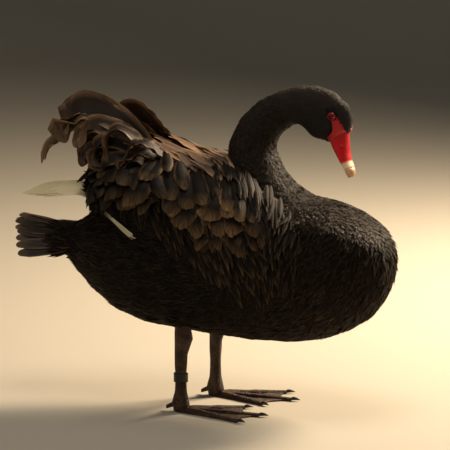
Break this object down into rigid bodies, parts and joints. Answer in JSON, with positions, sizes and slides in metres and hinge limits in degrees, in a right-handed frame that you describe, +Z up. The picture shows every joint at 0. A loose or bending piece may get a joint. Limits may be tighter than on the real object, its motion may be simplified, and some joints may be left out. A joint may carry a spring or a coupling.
{
  "type": "black swan",
  "caption": "Life-size still model of a black swan standing on both feet, neck arched and bill pointed down, curled feathers raised over the back, with a plain leg ring",
  "frame": {"origin": "on the floor, below the middle of the whole bird's box", "axes": "+X the way the body faces, +Y the bird's left side, +Z up"},
  "size_m": [0.6231, 0.24, 0.5181],
  "materials": {
    "feathers": "matte black feathers with grey-brown edges",
    "flight_feathers": "matte creamy white vanes",
    "bill": "satin waxy red",
    "bill_nail": "satin pinkish horn",
    "bare_skin": "soft matte red skin",
    "eyes": "wet gloss, red iris",
    "legs": "scaly dark grey-brown skin",
    "claws": "satin black horn",
    "leg_ring": "satin black plastic"
  },
  "bodies": {
    "root": {"head": "feathers", "neck_upper": "feathers", "neck_middle": "feathers", "neck_lower": "feathers", "torso": "feathers", "wing_right": "feathers", "wing_left": "feathers", "tertials_right": "feathers", "tertials_left": "feathers", "tail": "feathers", "thigh_right": "feathers", "thigh_left": "feathers", "primaries_right": "flight_feathers", "primaries_left": "flight_feathers", "secondaries_right": "flight_feathers", "secondaries_left": "flight_feathers", "bill_upper": "bill", "bill_lower": "bill", "bill_nail": "bill_nail", "eyelid_right": "bare_skin", "eyelid_left": "bare_skin", "bare_skin_right": "bare_skin", "bare_skin_left": "bare_skin", "eye_right": "eyes", "eye_left": "eyes", "leg_right": "legs", "leg_left": "legs", "foot_right": "legs", "foot_left": "legs", "claw_right_outer": "claws", "claw_right_middle": "claws", "claw_right_inner": "claws", "claw_left_outer": "claws", "claw_left_middle": "claws", "claw_left_inner": "claws", "leg_ring": "leg_ring"}
  },
  "joints": []
}
